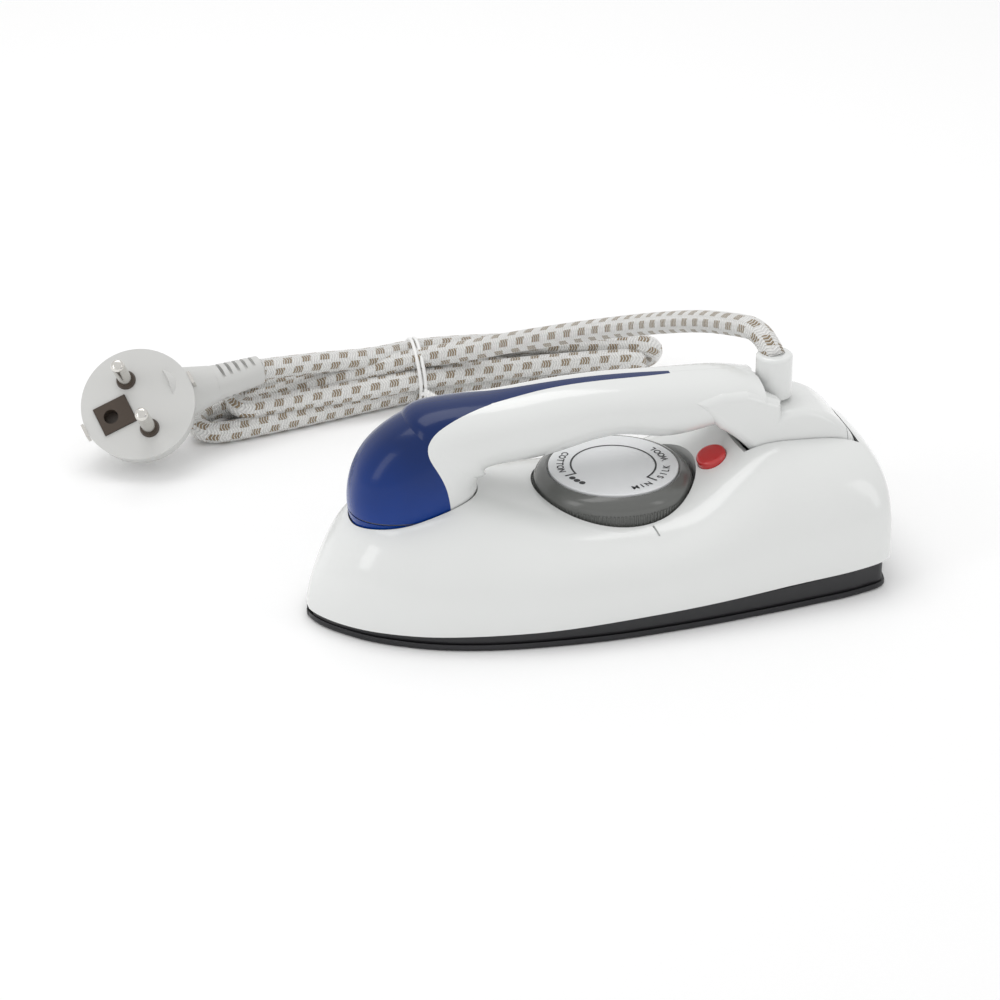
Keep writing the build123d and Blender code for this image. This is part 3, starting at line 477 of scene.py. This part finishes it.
tie_mesh.materials.append(moulded_plastic("tie_cover", (0.86, 0.86, 0.85), 0.35))
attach(wire_tie, "base")
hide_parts("cord_tie")


def paint(names, material):
    """Gives a material to CAD nodes."""
    for name in names:
        for slot in nodes[name].material_slots:
            slot.material = material


# ------------------------------------------------------------------ plug
# A round earthed plug of pale grey moulded plastic: two bright pins with dark collars,
# a dark insert for the earth pin, two spring clips at its sides and a ribbed relief.
plug_plastic = moulded_plastic("plug_plastic", (0.60, 0.60, 0.585), 0.42, grain=700.0, relief=0.00004)
paint(["plug_body", "plug_relief"], plug_plastic)
socket_brown = moulded_plastic("socket_brown", (0.055, 0.038, 0.026), 0.35)
paint(["plug_earth_socket"], socket_brown)
plug_face = Vector((-0.1225, 0.1180, 0.0227))
pin_spacing = 0.019
face_out = Vector((-0.271, -0.690, 0.672)).normalized()
face_across = Vector((0.259, -0.725, -0.640)).normalized()
face_along = face_out.cross(face_across)
face_frame = Matrix((face_across, face_along, face_out)).transposed().to_4x4()
face_frame.translation = plug_face
collars = bmesh.new()
for side in (-pin_spacing / 2, pin_spacing / 2):
    bmesh.ops.create_cone(
        collars, cap_ends=True, segments=40, radius1=0.0034, radius2=0.0030, depth=0.0014,
        matrix=face_frame @ Matrix.Translation((side, 0, 0.0006)),
    )
collar_mesh = bpy.data.meshes.new("pin_collars")
collars.to_mesh(collar_mesh)
collars.free()
collar_mesh.materials.append(socket_brown)
pin_collars = bpy.data.objects.new("pin_collars", collar_mesh)
scene.collection.objects.link(pin_collars)
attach(pin_collars, "base")


def bare_metal(name, colour, roughness, grain_scale=(400.0, 400.0, 40.0), relief=0.00001):
    """Metal with fine drawn lines and patches that are a little duller."""
    made, made_nodes, links = new_material(name)
    shader = made_nodes["Principled BSDF"]
    place = add_node(made_nodes, "ShaderNodeTexCoord")
    stretch = add_node(made_nodes, "ShaderNodeMapping", Scale=grain_scale)
    lines = add_node(made_nodes, "ShaderNodeTexNoise", Scale=6.0, Detail=6.0)
    links.new(place.outputs["Object"], stretch.inputs["Vector"])
    links.new(stretch.outputs["Vector"], lines.inputs["Vector"])
    patches = add_node(made_nodes, "ShaderNodeTexNoise", Scale=60.0, Detail=3.0)
    links.new(place.outputs["Object"], patches.inputs["Vector"])
    darker = tuple(c * 0.8 for c in colour) + (1,)
    colours = blend_colours(made_nodes, links, lines.outputs["Fac"], darker, (*colour, 1))
    links.new(colours, shader.inputs["Base Color"])
    rough = add_node(made_nodes, "ShaderNodeMapRange")
    rough.inputs["To Min"].default_value = roughness * 0.7
    rough.inputs["To Max"].default_value = roughness * 1.4
    links.new(patches.outputs["Fac"], rough.inputs["Value"])
    links.new(rough.outputs["Result"], shader.inputs["Roughness"])
    bump = add_node(made_nodes, "ShaderNodeBump", Strength=0.4, Distance=relief)
    links.new(lines.outputs["Fac"], bump.inputs["Height"])
    links.new(bump.outputs["Normal"], shader.inputs["Normal"])
    shader.inputs["Metallic"].default_value = 1.0
    return made


pin_metal = bare_metal("pin_metal", (0.80, 0.78, 0.74), 0.18)
paint(["plug_pins", "plug_earth_clips"], pin_metal)

# ------------------------------------------------------------------ soleplate
# Die-cast aluminium with a dark non-stick face, drilled with steam holes near the
# nose. The heater is cast in above, and a pressed lid closes the steam chamber.
sole_metal = bare_metal("sole_coating", (0.060, 0.060, 0.063), 0.30, grain_scale=(30.0, 500.0, 500.0))
paint(["soleplate", "chamber_lid"], sole_metal)
paint(["heating_rod", "thermostat"], bare_metal("heater_steel", (0.52, 0.52, 0.53), 0.32))

# ------------------------------------------------------------------ heat shield
# A black heat-proof skirt between the hot plate and the white body.
paint(["heat_shield"], moulded_plastic("shield_black", (0.012, 0.012, 0.014), 0.30, grain=1200.0))

# ------------------------------------------------------------------ body
# One white gloss moulding with the dial's pocket, the cradle for the tank and the
# slot for the handle's foot. Three screws hold it down from inside.
white_gloss = moulded_plastic(
    "white_gloss", (0.755, 0.765, 0.755), 0.16, grain=260.0, relief=0.000006, coat=0.4, tone=0.012,
)
paint(["body_shell"], white_gloss)
screw_steel = bare_metal("screw_steel", (0.62, 0.62, 0.64), 0.25)
paint(["body_screws", "hinge_pin", "handle_screws", "dial_spindle"], screw_steel)
inner_nylon = moulded_plastic("inner_nylon", (0.78, 0.76, 0.70), 0.5)
paint(["thermal_fuse", "terminal_block"], inner_nylon)
paint(["inner_leads"], moulded_plastic("lead_sleeving", (0.62, 0.58, 0.46), 0.6))
paint(["inlet_tube", "tank_gasket"], moulded_plastic("seal_rubber", (0.20, 0.20, 0.21), 0.7))

# ------------------------------------------------------------------ indicator
# A domed red lens over a small neon lamp, which lights while the plate heats.
red_lens = moulded_plastic("red_lens", (0.72, 0.020, 0.022), 0.12, relief=0.000004, coat=0.8, tone=0.05)
red_lens.node_tree.nodes["Principled BSDF"].inputs["Transmission Weight"].default_value = 0.25
paint(["indicator_lens"], red_lens)
paint(["indicator_lamp"], moulded_plastic("lamp_glass", (0.92, 0.90, 0.84), 0.1))

# ------------------------------------------------------------------ dial
# A grey knob with a glossy shoulder over a finely ribbed edge, and a white disc
# let into its top, printed with the heat scale.
knob_grey = moulded_plastic("knob_grey", (0.115, 0.118, 0.112), 0.20, relief=0.00001, coat=0.3)
paint(["dial_ring"], knob_grey)
disc_white = moulded_plastic(
    "disc_white", (0.80, 0.81, 0.82), 0.34, grain=300.0, relief=0.000002, coat=0.1, tone=0.01,
)
paint(["dial_disc"], disc_white)


def ribbed_ring():
    """A node tree that stands thin upright ribs round a ring."""
    tree = bpy.data.node_groups.new("ribbed_ring", "GeometryNodeTree")
    for label, kind, value in (
        ("Ribs", "NodeSocketInt", 120),
        ("Radius", "NodeSocketFloat", 0.0253),
        ("Height", "NodeSocketFloat", 0.003),
        ("Width", "NodeSocketFloat", 0.0006),
        ("Depth", "NodeSocketFloat", 0.0005),
    ):
        tree.interface.new_socket(label, in_out="INPUT", socket_type=kind).default_value = value
    tree.interface.new_socket("Finish", in_out="INPUT", socket_type="NodeSocketMaterial")
    tree.interface.new_socket("Geometry", in_out="OUTPUT", socket_type="NodeSocketGeometry")
    given = tree.nodes.new("NodeGroupInput")
    result = tree.nodes.new("NodeGroupOutput")
    circle = tree.nodes.new("GeometryNodeMeshCircle")
    rib = tree.nodes.new("GeometryNodeMeshCylinder")
    rib.inputs["Vertices"].default_value = 6
    rib.inputs["Side Segments"].default_value = 1
    scale = tree.nodes.new("ShaderNodeCombineXYZ")
    place_ribs = tree.nodes.new("GeometryNodeInstanceOnPoints")
    turn_out = tree.nodes.new("FunctionNodeAlignRotationToVector")
    turn_out.axis = "X"
    where = tree.nodes.new("GeometryNodeInputPosition")
    realize = tree.nodes.new("GeometryNodeRealizeInstances")
    finish = tree.nodes.new("GeometryNodeSetMaterial")
    rib.inputs["Radius"].default_value = 1.0
    links = tree.links
    links.new(given.outputs["Ribs"], circle.inputs["Vertices"])
    links.new(given.outputs["Radius"], circle.inputs["Radius"])
    links.new(given.outputs["Height"], rib.inputs["Depth"])
    links.new(given.outputs["Depth"], scale.inputs["X"])
    links.new(given.outputs["Width"], scale.inputs["Y"])
    scale.inputs["Z"].default_value = 1.0
    links.new(circle.outputs["Mesh"], place_ribs.inputs["Points"])
    links.new(rib.outputs["Mesh"], place_ribs.inputs["Instance"])
    links.new(where.outputs["Position"], turn_out.inputs["Vector"])
    links.new(turn_out.outputs["Rotation"], place_ribs.inputs["Rotation"])
    links.new(scale.outputs["Vector"], place_ribs.inputs["Scale"])
    links.new(place_ribs.outputs["Instances"], realize.inputs["Geometry"])
    links.new(realize.outputs["Geometry"], finish.inputs["Geometry"])
    links.new(given.outputs["Finish"], finish.inputs["Material"])
    links.new(finish.outputs["Geometry"], result.inputs["Geometry"])
    return tree


def grown(name, tree, values):
    """The mesh that a node tree makes with these inputs."""
    holder = bpy.data.objects.new(name, bpy.data.meshes.new(name))
    scene.collection.objects.link(holder)
    modifier = holder.modifiers.new("grow", "NODES")
    modifier.node_group = tree
    for item in tree.interface.items_tree:
        if item.in_out == "INPUT" and item.name in values:
            modifier[item.identifier] = values[item.name]
    return plain_mesh(holder)


dial_low, dial_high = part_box("dial_ring")
dial_middle = Vector(((dial_low[0] + dial_high[0]) / 2, (dial_low[1] + dial_high[1]) / 2, 0))
dial_outer = (dial_high[0] - dial_low[0]) / 2
rib_height = 0.0036
rib_foot = dial_low[2] + 0.0004
rib_mesh = grown("dial_ribs", ribbed_ring(), {
    "Ribs": 132, "Radius": dial_outer - 0.0001, "Height": rib_height, "Width": 0.00036, "Depth": 0.00055,
    "Finish": knob_grey,
})
rib_mesh.transform(Matrix.Translation((dial_middle.x, dial_middle.y, rib_foot + rib_height / 2)))
dial_ribs = bpy.data.objects.new("dial_ribs", rib_mesh)
scene.collection.objects.link(dial_ribs)
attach(dial_ribs, "dial")

# the heat scale: a three-quarter arc with a tick at each end, four fabric names
# round it and three dots at the hot end
print_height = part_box("dial_disc")[1][2] + 0.00006
print_ink = moulded_plastic("print_ink", (0.012, 0.012, 0.014), 0.45)
scale_print = bmesh.new()


def on_dial(radius, turn):
    """The point of the disc's face at a radius and an angle in radians."""
    outwards = Vector((math.cos(turn), math.sin(turn), 0)) * radius
    return dial_middle + outwards + Vector((0, 0, print_height))


def flat_band(inner, outer, start, stop, steps):
    """A flat piece of a ring, between two angles in degrees, on top of the disc."""
    rings = []
    for step in range(steps + 1):
        turn = math.radians(start + (stop - start) * step / steps)
        rings.append([scale_print.verts.new(on_dial(radius, turn)) for radius in (inner, outer)])
    for (a, b), (c, d) in zip(rings, rings[1:]):
        scale_print.faces.new((a, b, d, c))


arc_radius = 0.0132
cold_end, hot_end = -55, 191
dot_radius = 0.00105
flat_band(arc_radius, arc_radius + 0.0006, cold_end, hot_end, 90)
for end in (cold_end, hot_end):
    flat_band(arc_radius, arc_radius + 0.0040, end - 1.3, end + 1.3, 2)
for angle in (hot_end + 8, hot_end + 16, hot_end + 24):
    centre = on_dial(arc_radius + 0.0028, math.radians(angle))
    scale_print.faces.new([
        scale_print.verts.new(centre + Vector((math.cos(turn), math.sin(turn), 0)) * dot_radius)
        for turn in (2 * math.pi * k / 14 for k in range(14))
    ])
print_mesh = bpy.data.meshes.new("dial_scale")
scale_print.to_mesh(print_mesh)
scale_print.free()


def word_round(word, middle_angle, radius, size):
    """A word set letter by letter round the dial, its feet towards the rim."""
    letters = []
    step = math.degrees(size * 0.78 / radius)
    for index, letter in enumerate(word):
        angle = middle_angle + (index - (len(word) - 1) / 2) * step
        text = bpy.data.curves.new("letter", "FONT")
        text.body = letter
        text.size = size
        text.align_x = "CENTER"
        text.align_y = "CENTER"
        text.resolution_u = 3
        text.offset = 0.00008
        holder = bpy.data.objects.new("letter", text)
        scene.collection.objects.link(holder)
        mesh = plain_mesh(holder)
        turn = math.radians(angle)
        facing = Matrix.Rotation(turn + math.pi / 2, 4, "Z")
        mesh.transform(Matrix.Translation(on_dial(radius, turn)) @ facing)
        letters.append(mesh)
    return letters


letter_meshes = []
for word, middle_angle in (("MIN", -75), ("SILK", -34), ("WOOL", 12), ("COTTON", 158)):
    letter_meshes += word_round(word, middle_angle, 0.0170, 0.0031)
joined = bmesh.new()
joined.from_mesh(print_mesh)
for mesh in letter_meshes:
    joined.from_mesh(mesh)
    bpy.data.meshes.remove(mesh)
joined.to_mesh(print_mesh)
joined.free()
print_mesh.materials.clear()
print_mesh.materials.append(print_ink)
dial_scale = bpy.data.objects.new("dial_scale", print_mesh)
scene.collection.objects.link(dial_scale)
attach(dial_scale, "dial")

# ------------------------------------------------------------------ handle
# Two white gloss half shells joined down the middle, an end cap over the drum, and
# the bush that holds the mains lead.
paint(["handle_left_shell", "handle_right_shell", "foot_end_cap", "cord_bush"], white_gloss)

# ------------------------------------------------------------------ water tank
# A thick-walled deep blue moulding that forms the front of the handle and runs back
# along its top, with a blue filling cap under its nose.
tank_blue, tank_nodes, tank_links = new_material("tank_blue")
tank_shader = tank_nodes["Principled BSDF"]
tank_place = add_node(tank_nodes, "ShaderNodeTexCoord")
tank_split = add_node(tank_nodes, "ShaderNodeSeparateXYZ")
tank_links.new(tank_place.outputs["Object"], tank_split.inputs["Vector"])
tank_cloud = add_node(tank_nodes, "ShaderNodeTexNoise", Scale=55.0, Detail=4.0)
tank_links.new(tank_place.outputs["Object"], tank_cloud.inputs["Vector"])
# painted shade: the solid blue darkens upwards in place of the light and shade seen through the clear
# moulding, and a noise cloud adds a random change of tone
tank_shade_by_height = maths(tank_nodes, tank_links, "MULTIPLY_ADD", tank_split.outputs["Z"], 30.0, -1.02)
tank_cloud_and_shade = maths(tank_nodes, tank_links, "MULTIPLY_ADD", tank_cloud.outputs["Fac"], 0.35, tank_shade_by_height)
tank_cloud_and_shade = maths(tank_nodes, tank_links, "MAXIMUM", tank_cloud_and_shade, 0.0)
tank_cloud_and_shade = maths(tank_nodes, tank_links, "MINIMUM", tank_cloud_and_shade, 1.0)
tank_tone_and_shade = blend_colours(tank_nodes, tank_links, tank_cloud_and_shade, (0.0, 0.040, 0.27, 1), (0.0, 0.016, 0.10, 1))
tank_links.new(tank_tone_and_shade, tank_shader.inputs["Base Color"])
tank_skin = add_node(tank_nodes, "ShaderNodeTexNoise", Scale=420.0, Detail=3.0)
tank_links.new(tank_place.outputs["Object"], tank_skin.inputs["Vector"])
tank_bump = add_node(tank_nodes, "ShaderNodeBump", Strength=0.4, Distance=0.000008)
tank_links.new(tank_skin.outputs["Fac"], tank_bump.inputs["Height"])
tank_links.new(tank_bump.outputs["Normal"], tank_shader.inputs["Normal"])
tank_shader.inputs["Roughness"].default_value = 0.24
tank_shader.inputs["Specular IOR Level"].default_value = 0.22
tank_shader.inputs["Coat Weight"].default_value = 0.22
tank_shader.inputs["Coat Roughness"].default_value = 0.08
paint(["water_tank", "tank_cap"], tank_blue)
